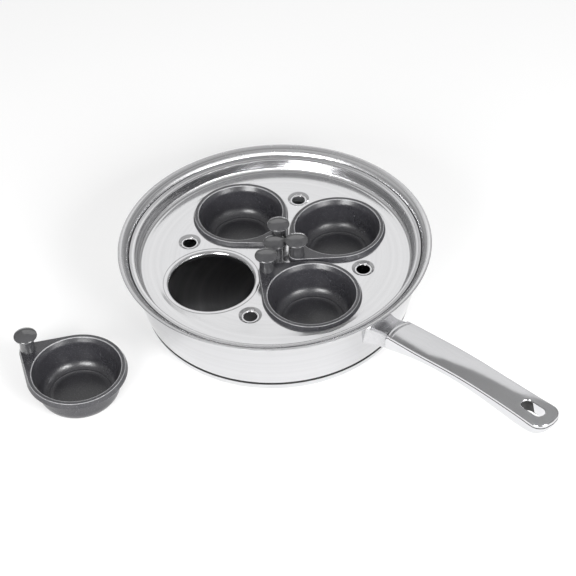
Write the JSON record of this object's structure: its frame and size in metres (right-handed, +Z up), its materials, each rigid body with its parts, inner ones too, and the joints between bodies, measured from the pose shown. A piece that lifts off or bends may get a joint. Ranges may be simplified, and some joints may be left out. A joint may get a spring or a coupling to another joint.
{
  "type": "egg poacher pan",
  "caption": "Steel pan with a layered base and hollow handle, holding a lift-out poaching tray with round holes for egg cups that each lift out by a knob.",
  "frame": {"origin": "centre of the pan's base, on the surface it stands on", "axes": "+Z up along the pan's axis, +X along the handle away from the pan"},
  "size_m": [0.4165, 0.3487, 0.0769],
  "materials": {
    "polished_steel": "mirror polished stainless steel",
    "tray_steel": "bright polished stainless sheet",
    "handle_steel": "polished stainless with faint lengthwise lines",
    "core_aluminium": "pressed aluminium",
    "cup_coating": "satin non-stick coating, finely speckled outside",
    "knob_phenolic": "glossy moulded phenolic",
    "insert_brass": "turned brass",
    "screw_steel": "zinc plated screw"
  },
  "bodies": {
    "pan": {"pan_body": "polished_steel", "base_core": "core_aluminium", "base_cap": "polished_steel", "handle_bracket": "polished_steel", "handle_upper_shell": "handle_steel", "handle_lower_shell": "handle_steel"},
    "tray": {"poacher_plate": "tray_steel", "plate_knob": "knob_phenolic", "plate_knob_insert": "insert_brass", "plate_knob_screw": "screw_steel"},
    "cup_1_body": {"cup_1": "cup_coating", "cup_1_knob": "knob_phenolic", "cup_1_insert": "insert_brass", "cup_1_screw": "screw_steel"},
    "cup_2_body": {"cup_2": "cup_coating", "cup_2_knob": "knob_phenolic", "cup_2_insert": "insert_brass", "cup_2_screw": "screw_steel"},
    "cup_3_body": {"cup_3": "cup_coating", "cup_3_knob": "knob_phenolic", "cup_3_insert": "insert_brass", "cup_3_screw": "screw_steel"},
    "loose_cup_body": {"loose_cup": "cup_coating", "loose_cup_knob": "knob_phenolic", "loose_cup_insert": "insert_brass", "loose_cup_screw": "screw_steel"}
  },
  "joints": [
    {"name": "tray_lift", "type": "slide", "parent": "pan", "child": "tray", "axis": [0, 0, 1], "range_m": [0, 0.06]},
    {"name": "cup_1_lift", "type": "slide", "parent": "tray", "child": "cup_1_body", "axis": [0, 0, 1], "range_m": [0, 0.045]},
    {"name": "cup_2_lift", "type": "slide", "parent": "tray", "child": "cup_2_body", "axis": [0.0523, 0.0905, 0.9945], "range_m": [0, 0.045]},
    {"name": "cup_3_lift", "type": "slide", "parent": "tray", "child": "cup_3_body", "axis": [0.0856, -0.06, 0.9945], "range_m": [0, 0.045]},
    {"name": "loose_cup_lift", "type": "slide", "parent": "pan", "child": "loose_cup_body", "axis": [0, 0, 1], "range_m": [0, 0.06]}
  ]
}
